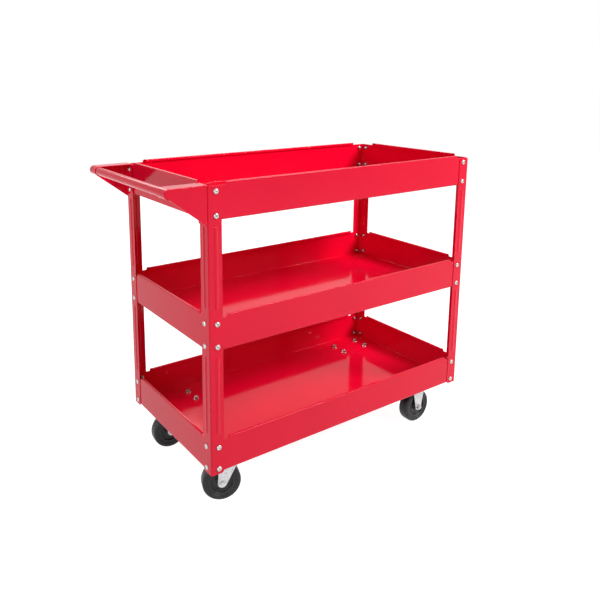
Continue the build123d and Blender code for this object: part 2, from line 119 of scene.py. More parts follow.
# ---------------------------------------------------------------------------------- finishes
class Recipe:
    """A node tree under construction, with short ways to add and join nodes."""

    def __init__(self, name: str) -> None:
        """Start an empty material with a shader and object coordinates.

        Args:
            name: The material's name.
        """
        self.material = bpy.data.materials.new(name)
        self.material.use_nodes = True
        self.tree = self.material.node_tree
        self.tree.nodes.clear()
        self.output = self.tree.nodes.new("ShaderNodeOutputMaterial")
        self.shader = self.tree.nodes.new("ShaderNodeBsdfPrincipled")
        self.join(self.shader.outputs["BSDF"], self.output.inputs["Surface"])
        self.place = self.tree.nodes.new("ShaderNodeTexCoord").outputs["Object"]

    def join(self, source: bpy.types.NodeSocket, target: bpy.types.NodeSocket) -> None:
        """Link one socket to another."""
        self.tree.links.new(source, target)

    def noise(self, scale: float, detail: float = 2.0,
              roughness: float = 0.5) -> bpy.types.NodeSocket:
        """Add a noise pattern.

        Args:
            scale: Cells per metre.
            detail: Number of finer layers.
            roughness: Strength of the finer layers.

        Returns:
            The pattern's value socket.
        """
        node = self.tree.nodes.new("ShaderNodeTexNoise")
        node.inputs["Scale"].default_value = scale
        node.inputs["Detail"].default_value = detail
        node.inputs["Roughness"].default_value = roughness
        self.join(self.place, node.inputs["Vector"])
        return node.outputs["Fac"]

    def crystals(self, scale: float) -> bpy.types.NodeSocket:
        """Add a cell pattern with one random colour for each crystal.

        Args:
            scale: Crystals per metre.

        Returns:
            The pattern's colour socket.
        """
        node = self.tree.nodes.new("ShaderNodeTexVoronoi")
        node.inputs["Scale"].default_value = scale
        self.join(self.place, node.inputs["Vector"])
        return node.outputs["Color"]

    def spread(self, value: bpy.types.NodeSocket, low: float, high: float, least: float = 0.3,
               most: float = 0.7) -> bpy.types.NodeSocket:
        """Map a pattern's useful range onto new limits.

        Args:
            value: The pattern.
            low: Result at least.
            high: Result at most.
            least: Pattern value that gives low.
            most: Pattern value that gives high.

        Returns:
            The mapped value socket.
        """
        node = self.tree.nodes.new("ShaderNodeMapRange")
        node.inputs["From Min"].default_value = least
        node.inputs["From Max"].default_value = most
        node.inputs["To Min"].default_value = low
        node.inputs["To Max"].default_value = high
        self.join(value, node.inputs["Value"])
        return node.outputs["Result"]

    def colour(self, value: bpy.types.NodeSocket, *stops: tuple[float, Colour]) -> None:
        """Colour the surface by a pattern through a ramp.

        Args:
            value: The pattern.
            stops: Positions from 0 to 1 with their linear colours.
        """
        node = self.tree.nodes.new("ShaderNodeValToRGB")
        ramp = node.color_ramp
        while len(ramp.elements) < len(stops):
            ramp.elements.new(0.5)
        for element, (position, colour) in zip(ramp.elements, stops):
            element.position = position
            element.color = (*colour, 1.0)
        self.join(value, node.inputs["Fac"])
        self.join(node.outputs["Color"], self.shader.inputs["Base Color"])

    def relief(self, height: bpy.types.NodeSocket, strength: float, depth: float,
               under: bpy.types.NodeSocket | None = None) -> bpy.types.NodeSocket:
        """Turn a pattern into bumps.

        Args:
            height: The pattern.
            strength: Share of the bump that shows.
            depth: Height of the bumps in metres.
            under: Normal of a coarser relief that these bumps lie on.

        Returns:
            The normal socket.
        """
        node = self.tree.nodes.new("ShaderNodeBump")
        node.inputs["Strength"].default_value = strength
        node.inputs["Distance"].default_value = depth
        self.join(height, node.inputs["Height"])
        if under is not None:
            self.join(under, node.inputs["Normal"])
        return node.outputs["Normal"]


@dataclass(frozen=True)
class PowderCoat:
    """Glossy red powder coat over sheet steel, with a faint orange peel."""

    body: Colour = (0.84, 0.002, 0.034)
    deep: Colour = (0.79, 0.002, 0.031)
    clouds_per_metre: float = 5.0
    haze_per_metre: float = 38.0
    roughness: tuple[float, float] = (0.06, 0.14)
    specular: float = 0.17
    peel_per_metre: float = 260.0
    peel_depth: float = 0.06 * MM
    ripple_per_metre: float = 14.0
    ripple_depth: float = 0.4 * MM

    def material(self) -> bpy.types.Material:
        """Build the finish as a material.

        Returns:
            The material.
        """
        recipe = Recipe("red_powder_coat")
        shader = recipe.shader.inputs
        clouds = recipe.noise(self.clouds_per_metre, detail=3.0)
        recipe.colour(clouds, (0.35, self.deep), (0.65, self.body))
        haze = recipe.noise(self.haze_per_metre, detail=4.0)
        recipe.join(recipe.spread(haze, *self.roughness), shader["Roughness"])
        waves = recipe.noise(self.peel_per_metre, detail=1.0)
        swell = recipe.noise(self.ripple_per_metre, detail=1.0)
        ripple = recipe.relief(swell, strength=0.25, depth=self.ripple_depth)
        peel = recipe.relief(waves, strength=0.35, depth=self.peel_depth, under=ripple)
        recipe.join(peel, shader["Normal"])
        shader["Specular IOR Level"].default_value = self.specular
        shader["IOR"].default_value = 1.5
        return recipe.material


@dataclass(frozen=True)
class Galvanised:
    """Zinc-coated sheet with fine pale crystals."""

    pale: Colour = (0.72, 0.72, 0.73)
    grey: Colour = (0.46, 0.47, 0.48)
    crystals_per_metre: float = 420.0
    roughness: tuple[float, float] = (0.34, 0.56)
    metallic: float = 0.72
    grain_per_metre: float = 900.0
    grain_depth: float = 0.05 * MM

    def material(self) -> bpy.types.Material:
        """Build the finish as a material.

        Returns:
            The material.
        """
        recipe = Recipe("galvanised_steel")
        shader = recipe.shader.inputs
        crystal = recipe.crystals(self.crystals_per_metre)
        recipe.colour(crystal, (0.2, self.grey), (0.8, self.pale))
        glint = recipe.spread(crystal, *self.roughness, least=0.2, most=0.8)
        recipe.join(glint, shader["Roughness"])
        grain = recipe.noise(self.grain_per_metre, detail=3.0)
        grained = recipe.relief(grain, strength=0.4, depth=self.grain_depth)
        recipe.join(grained, shader["Normal"])
        shader["Metallic"].default_value = self.metallic
        return recipe.material


@dataclass(frozen=True)
class BoltZinc:
    """Bright zinc plate of screws, nuts and bolts."""

    bright: Colour = (0.56, 0.56, 0.54)
    dull: Colour = (0.32, 0.32, 0.31)
    stains_per_metre: float = 300.0
    roughness: tuple[float, float] = (0.32, 0.18)
    grain_per_metre: float = 1400.0
    grain_depth: float = 0.02 * MM

    def material(self) -> bpy.types.Material:
        """Build the finish as a material.

        Returns:
            The material.
        """
        recipe = Recipe("bright_zinc")
        shader = recipe.shader.inputs
        stain = recipe.noise(self.stains_per_metre, detail=4.0)
        recipe.colour(stain, (0.3, self.dull), (0.6, self.bright))
        recipe.join(recipe.spread(stain, *self.roughness), shader["Roughness"])
        grain = recipe.noise(self.grain_per_metre, detail=2.0)
        grained = recipe.relief(grain, strength=0.3, depth=self.grain_depth)
        recipe.join(grained, shader["Normal"])
        shader["Metallic"].default_value = 1.0
        return recipe.material


@dataclass(frozen=True)
class Rubber:
    """Hard black rubber with a dusty bloom."""

    black: Colour = (0.010, 0.010, 0.011)
    dusty: Colour = (0.022, 0.022, 0.024)
    dust_per_metre: float = 60.0
    roughness: tuple[float, float] = (0.28, 0.46)
    specular: float = 0.3
    grain_per_metre: float = 1100.0
    grain_depth: float = 0.08 * MM

    def material(self) -> bpy.types.Material:
        """Build the finish as a material.

        Returns:
            The material.
        """
        recipe = Recipe("black_rubber")
        shader = recipe.shader.inputs
        dust = recipe.noise(self.dust_per_metre, detail=5.0, roughness=0.65)
        recipe.colour(dust, (0.35, self.black), (0.7, self.dusty))
        recipe.join(recipe.spread(dust, *self.roughness), shader["Roughness"])
        grain = recipe.noise(self.grain_per_metre, detail=3.0)
        grained = recipe.relief(grain, strength=0.35, depth=self.grain_depth)
        recipe.join(grained, shader["Normal"])
        shader["Specular IOR Level"].default_value = self.specular
        return recipe.material


@dataclass(frozen=True)
class Plastic:
    """Moulded black plastic of the wheel centres."""

    black: Colour = (0.012, 0.012, 0.013)
    worn: Colour = (0.024, 0.024, 0.026)
    flow_per_metre: float = 120.0
    roughness: tuple[float, float] = (0.30, 0.44)
    specular: float = 0.35
    grain_per_metre: float = 1600.0
    grain_depth: float = 0.04 * MM

    def material(self) -> bpy.types.Material:
        """Build the finish as a material.

        Returns:
            The material.
        """
        recipe = Recipe("black_plastic")
        shader = recipe.shader.inputs
        flow = recipe.noise(self.flow_per_metre, detail=3.0)
        recipe.colour(flow, (0.35, self.black), (0.7, self.worn))
        recipe.join(recipe.spread(flow, *self.roughness), shader["Roughness"])
        grain = recipe.noise(self.grain_per_metre, detail=2.0)
        grained = recipe.relief(grain, strength=0.25, depth=self.grain_depth)
        recipe.join(grained, shader["Normal"])
        shader["Specular IOR Level"].default_value = self.specular
        return recipe.material


@dataclass
class Finishes:
    """Every finish of the cart, made once and shared by its pieces."""

    made: dict[Slot, bpy.types.Material]

    @classmethod
    def make(cls) -> "Finishes":
        """Make a full set of finishes.

        Returns:
            The set.
        """
        return cls({
            Slot.PAINT: PowderCoat().material(),
            Slot.GALVANISED: Galvanised().material(),
            Slot.BOLT_ZINC: BoltZinc().material(),
            Slot.RUBBER: Rubber().material(),
            Slot.PLASTIC: Plastic().material(),
        })

    def dress(self, piece: bpy.types.Object, slot: Slot) -> None:
        """Give a piece one finish in every slot that it has.

        Args:
            piece: The mesh object.
            slot: The finish to give it.
        """
        if not piece.data.materials:
            piece.data.materials.append(self.made[slot])
        for index in range(len(piece.material_slots)):
            piece.material_slots[index].material = self.made[slot]

    def fit(self, piece: bpy.types.Object, node: str, slot: Slot) -> bpy.types.Object:
        """Dress a detailed piece and let it stand for a CAD node, on that node's body.

        Args:
            piece: The finished mesh.
            node: The node that it replaces.
            slot: The finish to give it.

        Returns:
            The same piece.
        """
        body = frame_nodes()[node]["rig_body"]
        self.dress(piece, slot)
        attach(piece, body)
        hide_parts(node)
        LOG.info("%s on %s: %d faces", piece.name, body, len(piece.data.polygons))
        return piece


# ----------------------------------------------------------------------------- mesh handwork
class Bench:
    """Hand tools: primitives shaped in edit mode, then placed and finished."""

    @staticmethod
    def clear() -> None:
        """Deselect everything, so that an operator acts on one piece only."""
        if bpy.context.object and bpy.context.object.mode != "OBJECT":
            bpy.ops.object.mode_set(mode="OBJECT")
        bpy.ops.object.select_all(action="DESELECT")

    @staticmethod
    def pick(piece: bpy.types.Object) -> None:
        """Make one piece the only selected and active object.

        Args:
            piece: The piece to work on.
        """
        Bench.clear()
        piece.select_set(True)
        bpy.context.view_layer.objects.active = piece

    @staticmethod
    def lathe(name: str, outline: Outline, steps: int) -> bpy.types.Object:
        """Spin an outline about the Z axis into a closed ring or disc.

        Args:
            name: Name of the new object.
            outline: Points (radius, height) in metres, in order round the section.
            steps: Number of facets in a full turn.

        Returns:
            The turned object, with its normals outwards.
        """
        Bench.clear()
        bpy.ops.mesh.primitive_plane_add(size=0.01, location=(0, 0, 0))
        piece = bpy.context.object
        piece.name = piece.data.name = name
        bpy.ops.object.mode_set(mode="EDIT")
        mesh = bmesh.from_edit_mesh(piece.data)
        bmesh.ops.delete(mesh, geom=mesh.verts[:], context="VERTS")
        ring = [mesh.verts.new((radius, 0.0, height)) for radius, height in outline]
        for here, there in zip(ring, ring[1:] + ring[:1]):
            mesh.edges.new((here, there))
        bmesh.update_edit_mesh(piece.data)
        bpy.ops.mesh.select_all(action="SELECT")
        bpy.ops.mesh.spin(steps=steps, angle=2 * math.pi, center=(0, 0, 0), axis=(0, 0, 1))
        bpy.ops.mesh.select_all(action="SELECT")
        bpy.ops.mesh.remove_doubles(threshold=MERGE)
        bpy.ops.mesh.dissolve_degenerate(threshold=CLOSE)
        bpy.ops.mesh.select_all(action="SELECT")
        bpy.ops.mesh.normals_make_consistent(inside=False)
        bpy.ops.object.mode_set(mode="OBJECT")
        return piece

    @staticmethod
    def smooth(piece: bpy.types.Object, degrees: float) -> None:
        """Shade a piece smooth across edges flatter than an angle."""
        Bench.pick(piece)
        bpy.ops.object.shade_smooth_by_angle(angle=math.radians(degrees))

    @staticmethod
    def bevel(piece: bpy.types.Object, width: float, degrees: float = 40.0,
              segments: int = 2) -> None:
        """Round a piece's sharp edges with an applied bevel.

        Args:
            piece: The mesh object.
            width: Width of the rounding in metres.
            degrees: Edges sharper than this are rounded.
            segments: Facets across the rounding.
        """
        Bench.pick(piece)
        modifier = piece.modifiers.new("rounding", "BEVEL")
        modifier.width = width
        modifier.segments = segments
        modifier.limit_method = "ANGLE"
        modifier.angle_limit = math.radians(degrees)
        bpy.ops.object.modifier_apply(modifier=modifier.name)

    @staticmethod
    def cut(piece: bpy.types.Object, cutter: bpy.types.Object, keep_inside: bool = False) -> None:
        """Shape one closed piece with another, and remove the cutter.

        Args:
            piece: The piece to shape.
            cutter: The closed piece to shape it with.
            keep_inside: Keep what lies inside the cutter, in place of what lies outside.
        """
        Bench.pick(piece)
        modifier = piece.modifiers.new("cut", "BOOLEAN")
        modifier.operation = "INTERSECT" if keep_inside else "DIFFERENCE"
        modifier.solver = "EXACT"
        modifier.object = cutter
        bpy.ops.object.modifier_apply(modifier=modifier.name)
        bpy.data.objects.remove(cutter)

    @staticmethod
    def join(name: str, pieces: list[bpy.types.Object]) -> bpy.types.Object:
        """Merge several pieces into one named object.

        Args:
            name: Name of the joined object.
            pieces: What to merge; the first one takes in the others.

        Returns:
            The joined object.
        """
        Bench.clear()
        for piece in pieces:
            piece.select_set(True)
        bpy.context.view_layer.objects.active = pieces[0]
        if len(pieces) > 1:
            bpy.ops.object.join()
        joined = bpy.context.object
        joined.name = joined.data.name = name
        return joined

    @staticmethod
    def settle(piece: bpy.types.Object, place: Matrix) -> bpy.types.Object:
        """Put a place into a piece's mesh, leaving its object at the origin.

        Args:
            piece: The mesh object.
            place: The turn and shift to apply.

        Returns:
            The same piece.
        """
        piece.data.transform(place)
        piece.matrix_world = Matrix.Identity(4)
        return piece

    @staticmethod
    def copies(name: str, pattern: bpy.types.Object, places: list[Matrix]) -> bpy.types.Object:
        """Repeat a pattern piece at several places as one object, and remove the pattern.

        Args:
            name: Name of the joined object.
            pattern: The piece to repeat, modelled at the origin.
            places: One turn and shift for each copy.

        Returns:
            The joined copies.
        """
        made = []
        for place in places:
            twin = pattern.copy()
            twin.data = pattern.data.copy()
            bpy.context.scene.collection.objects.link(twin)
            made.append(Bench.settle(twin, place))
        bpy.data.objects.remove(pattern)
        return Bench.join(name, made)


# ----------------------------------------------------------------------- places on the frame
def quarter_turn(step: int = 15) -> list[float]:
    """Return the angles of a quarter turn in radians, a step in degrees apart."""
    return [math.radians(degrees) for degrees in range(0, 91, step)]


def facing(way: Vector) -> Matrix:
    """Return the turn that points a piece's Z axis another way."""
    return UP.rotation_difference(way).to_matrix().to_4x4()


def as_driven(number: int, turn: float = 137.5, first: float = 20.0) -> Matrix:
    """Return the turn at which one fastener of a row was left, different for each."""
    return Matrix.Rotation(math.radians(turn * number + first), 4, "Z")


def islands(node: str) -> list[tuple[Vector, Vector]]:
    """Find each separate solid in a CAD node.

    Args:
        node: The node's name.

    Returns:
        The lowest and highest corner of each solid.
    """
    source = frame_nodes()[node].data
    work = bmesh.new()
    work.from_mesh(source)
    bmesh.ops.remove_doubles(work, verts=work.verts[:], dist=WELD)
    seen, boxes = set(), []
    for start in work.verts:
        if start in seen:
            continue
        group, stack = [], [start]
        seen.add(start)
        while stack:
            vertex = stack.pop()
            group.append(vertex.co.copy())
            for edge in vertex.link_edges:
                other = edge.other_vert(vertex)
                if other not in seen:
                    seen.add(other)
                    stack.append(other)
        boxes.append((Vector([min(p[i] for p in group) for i in range(3)]),
                      Vector([max(p[i] for p in group) for i in range(3)])))
    work.free()
    return boxes


def frame_nodes() -> dict[str, bpy.types.Object]:
    """Return the CAD nodes of the frame, by name."""
    return {o["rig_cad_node"]: o for o in bpy.data.objects if "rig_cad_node" in o}


def fastener_spots(node: str, proud: float, length: float) -> list[tuple[Vector, Vector]]:
    """Find each screw's or nut's seat and the way it faces.

    Args:
        node: Node of like fasteners on the posts' flanges.
        proud: Height of the head beyond the seat, or 0 for a nut.
        length: Length behind the seat.

    Returns:
        The seat's centre and the outward direction of each.
    """
    spots = []
    middle = Vector(((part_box("handle_left_post")[0].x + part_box("nose_left_post")[1].x) / 2, 0, 0))
    for least, most in islands(node):
        centre, size = (least + most) / 2, most - least
        axis = min(range(2), key=lambda a: abs(size[a] - (proud + length)))
        sign = 1.0 if centre[axis] > middle[axis] else -1.0
        outward = Vector((0, 0, 0))
        outward[axis] = sign
        outer = most[axis] if sign > 0 else least[axis]
        seat = centre.copy()
        seat[axis] = outer - sign * proud
        spots.append((seat, outward))
    return spots


# --------------------------------------------------------------------------------- fasteners
def thread(radius: float, top: float, bottom: float, half_pitch: float = 0.5 * MM,
           depth: float = 0.4 * MM) -> Outline:
    """Return the zigzag outline of a thread between two heights, from the top down.

    Args:
        radius: Outer radius of the thread.
        top: Height of its first crest.
        bottom: Height that it stays above.
        half_pitch: Height from a crest to the next root.
        depth: How far the roots lie inside the crests.

    Returns:
        Points (radius, height) in metres.
    """
    steps = max(1, int((top - bottom) / half_pitch))
    return [(radius - (0.0 if step % 2 == 0 else depth), top - step * half_pitch)
            for step in range(steps)]


@dataclass(frozen=True)
class Hexagon:
    """A hexagon of a nut or a bolt head, with its corners turned off at 30 degrees."""

    flats: float
    height: float
    flat_share: float = 0.94
    slope: float = math.tan(math.radians(30))
    overshoot: float = 0.2 * MM

    def block(self, both_ends: bool) -> bpy.types.Object:
        """Make the chamfered hexagon on the XY plane.

        Args:
            both_ends: Turn the corners off at the foot as well as at the top.

        Returns:
            The closed block.
        """
        corner = self.flats / 2 / math.cos(math.pi / 6)
        Bench.clear()
        bpy.ops.mesh.primitive_cylinder_add(vertices=6, radius=corner, depth=self.height,
                                            location=(0, 0, self.height / 2))
        block = bpy.context.object
        bpy.ops.object.transform_apply(location=True, rotation=False, scale=False)
        flat, wide = self.flats / 2 * self.flat_share, corner + self.overshoot
        fall = (corner - flat) * self.slope + self.overshoot * self.slope
        below = 0.0 if both_ends else -0.1 * MM
        foot = [(wide, fall), (flat, 0.0)] if both_ends else [(wide, below)]
        outline = [(0.0, self.height), (flat, self.height), (wide, self.height - fall), *foot,
                   (0.0, below)]
        Bench.cut(block, Bench.lathe("turning", outline, steps=48), keep_inside=True)
        return block

    def nut(self, bore_d: float) -> bpy.types.Object:
        """Make a nut with a countersunk bore.

        Args:
            bore_d: Diameter of the thread that it fits.

        Returns:
            The nut, standing on the XY plane.
        """
        block, bore, top = self.block(both_ends=True), bore_d / 2 + 0.02 * MM, self.height
        past, sink, wide = self.overshoot, 0.4 * MM, bore + 0.6 * MM
        outline = [(0.0, -past), (wide, -past), (bore, sink), (bore, top - sink),
                   (wide, top + past), (0.0, top + past)]
        Bench.cut(block, Bench.lathe("bore", outline, steps=24))
        block.name = "nut"
        Bench.smooth(block, degrees=28.0)
        return block


@dataclass
class TrayFasteners:
    """Pan head screws with a cross recess, and their nuts inside the trays."""

    finishes: Finishes
    head_d: float = 12.5 * MM
    head_h: float = 3.8 * MM
    shank_d: float = 6.0 * MM
    shank_l: float = 12.0 * MM
    rim_share: float = 0.24
    recess: float = 6.6 * MM
    blade_w: float = 1.1 * MM
    blade_taper: float = 0.30
    blade_level: float = 0.86
    blade_h: float = 1.1
    nut_flats: float = 10.0 * MM
    nut_h: float = 5.0 * MM

    def screw(self) -> bpy.types.Object:
        """Make one screw, its head on the XY plane and its thread downwards.

        Returns:
            The screw.
        """
        r, h, s = self.head_d / 2, self.head_h, self.shank_d / 2
        dome = [(r * math.sin(a), h * self.rim_share + h * (1.0 - self.rim_share) * math.cos(a))
                for a in quarter_turn()]
        ridges = thread(s, -0.3 * MM, -self.shank_l + 0.8 * MM)
        tip = [(s - 0.9 * MM, -self.shank_l), (0.0, -self.shank_l)]
        piece = Bench.lathe("screw", [*dome, (r, 0.0), (s, 0.0), *ridges, *tip], steps=24)
        for turn in (0.0, math.pi / 2):
            Bench.cut(piece, self.recess_blade(turn))
        Bench.smooth(piece, degrees=35.0)
        return piece

    def recess_blade(self, turn: float) -> bpy.types.Object:
        """Make one tapered blade that cuts half of the cross recess.

        Args:
            turn: Angle about Z in radians.

        Returns:
            The closed blade.
        """
        Bench.clear()
        bpy.ops.mesh.primitive_cube_add(size=1.0, location=(0, 0, self.head_h * self.blade_level))
        blade = bpy.context.object
        blade.scale = (self.recess, self.blade_w, self.head_h * self.blade_h)
        bpy.ops.object.transform_apply(location=True, rotation=False, scale=True)
        bpy.ops.object.mode_set(mode="EDIT")
        bpy.ops.mesh.select_all(action="DESELECT")
        mesh = bmesh.from_edit_mesh(blade.data)
        for face in mesh.faces:
            if face.normal.z < -0.9:
                face.select_set(True)
        bmesh.update_edit_mesh(blade.data)
        bpy.ops.transform.resize(value=(self.blade_taper, 1.0, 1.0), center_override=(0, 0, 0))
        bpy.ops.object.mode_set(mode="OBJECT")
        return Bench.settle(blade, Matrix.Rotation(turn, 4, "Z"))

    def nut(self) -> bpy.types.Object:
        """Return one nut that stands on the XY plane."""
        return Hexagon(self.nut_flats, self.nut_h).nut(self.shank_d)

    def places(self, node: str) -> tuple[list[Matrix], list[Matrix]]:
        """Find where one tray's screws and nuts sit, from the frame's own pieces.

        Args:
            node: The tray's node name.

        Returns:
            Places of the screws and of the nuts.
        """
        screws, nuts = [], []
        for centre, outward in fastener_spots(f"{node}_bolts", self.head_h, self.shank_l):
            screws.append(Matrix.Translation(centre) @ facing(outward) @ as_driven(len(screws)))
        for centre, outward in fastener_spots(f"{node}_nuts", 0.0, self.nut_h):
            nuts.append(Matrix.Translation(centre) @ facing(-outward) @ as_driven(len(nuts)))
        return screws, nuts

    def build(self, node: str) -> list[bpy.types.Object]:
        """Make and place one tray's fasteners.

        Args:
            node: The tray's node name.

        Returns:
            The screws and the nuts, as two objects.
        """
        screws, nuts = self.places(node)
        made = []
        for kind, pattern, places in (("bolts", self.screw(), screws), ("nuts", self.nut(), nuts)):
            piece = Bench.copies(f"{node}_{kind}_detail", pattern, places)
            made.append(self.finishes.fit(piece, f"{node}_{kind}", Slot.BOLT_ZINC))
        return made


@dataclass
class CasterFasteners:
    """Flanged bolts through the bottom tray's floor, and the nuts under the caster plates."""

    finishes: Finishes
    flats: float = 13.0 * MM
    head_h: float = 5.3 * MM
    dish_h: float = 0.5 * MM
    dish_r: tuple[float, float] = (3.2 * MM, 4.2 * MM)
    flange_d: float = 18.0 * MM
    flange_h: float = 1.6 * MM
    shank_d: float = 8.0 * MM
    shank_l: float = 14.0 * MM
    nut_h: float = 6.5 * MM

    def bolt(self) -> bpy.types.Object:
        """Make one bolt, its flange on the XY plane and its thread downwards.

        Returns:
            The bolt.
        """
        r, h, s = self.flange_d / 2, self.flange_h, self.shank_d / 2
        flange = [(0.0, h + 0.2 * MM), (self.flats / 2, h + 0.2 * MM), (r - 1.2 * MM, h * 0.72),
                  (r - 0.25 * MM, h * 0.42), (r, h * 0.22), (r, 0.0), (s, 0.0)]
        ridges = thread(s, -0.4 * MM, -self.shank_l + 1.0 * MM)
        tip = [(s - 1.0 * MM, -self.shank_l), (0.0, -self.shank_l)]
        washer = Bench.lathe("flange", [*flange, *ridges, *tip], steps=32)
        head = Hexagon(self.flats, self.head_h).block(both_ends=False)
        floor, brim = self.head_h - self.dish_h, self.head_h + 0.1 * MM
        dish = [(0.0, floor), (self.dish_r[0], floor), (self.dish_r[1], brim), (0.0, brim)]
        Bench.cut(head, Bench.lathe("dish", dish, steps=24))
        Bench.settle(head, Matrix.Translation((0, 0, h)))
        bolt = Bench.join("caster_bolt", [washer, head])
        Bench.smooth(bolt, degrees=28.0)
        return bolt

    def build(self) -> list[bpy.types.Object]:
        """Make and place the bolts and nuts of all four caster plates.

        Returns:
            The bolts and the nuts, as two objects.
        """
        made = []
        nut = Hexagon(self.flats, self.nut_h).nut(self.shank_d)
        for node, pattern in (("caster_bolts", self.bolt()), ("caster_nuts", nut)):
            places = []
            for low, high in islands(node):
                level = high.z - self.head_h - self.flange_h if node == "caster_bolts" else low.z
                seat = Vector(((low.x + high.x) / 2, (low.y + high.y) / 2, level))
                places.append(Matrix.Translation(seat) @ as_driven(len(places)))
            piece = Bench.copies(f"{node}_detail", pattern, places)
            made.append(self.finishes.fit(piece, node, Slot.BOLT_ZINC))
        return made


# ------------------------------------------------------------------------------ sheet pieces
@dataclass
class SheetPiece:
    """A pressed, rolled or turned piece whose sharp edges are broken as a press leaves them."""

    finishes: Finishes
    node: str
    slot: Slot
    edge: float = 0.3 * MM
    level_within: float = 0.6  # degrees between triangles of one flat face

    def build(self) -> bpy.types.Object:
        """Copy the piece as designed, round its edges and dress it.

        Returns:
            The detailed piece.
        """
        source = frame_nodes()[self.node]
        piece = bpy.data.objects.new(f"{self.node}_detail", source.data.copy())
        bpy.context.scene.collection.objects.link(piece)
        Bench.pick(piece)
        bpy.ops.mesh.customdata_custom_splitnormals_clear()
        bpy.ops.object.mode_set(mode="EDIT")
        bpy.ops.mesh.select_all(action="SELECT")
        bpy.ops.mesh.remove_doubles(threshold=CLOSE)
        bpy.ops.mesh.dissolve_limited(angle_limit=math.radians(self.level_within))
        bpy.ops.object.mode_set(mode="OBJECT")
        Bench.bevel(piece, self.edge)
        Bench.smooth(piece, degrees=35.0)
        flats = piece.modifiers.new("flats", "WEIGHTED_NORMAL")
        flats.weight, flats.keep_sharp = 100, True
        bpy.ops.object.modifier_apply(modifier=flats.name)
        return self.finishes.fit(piece, self.node, self.slot)


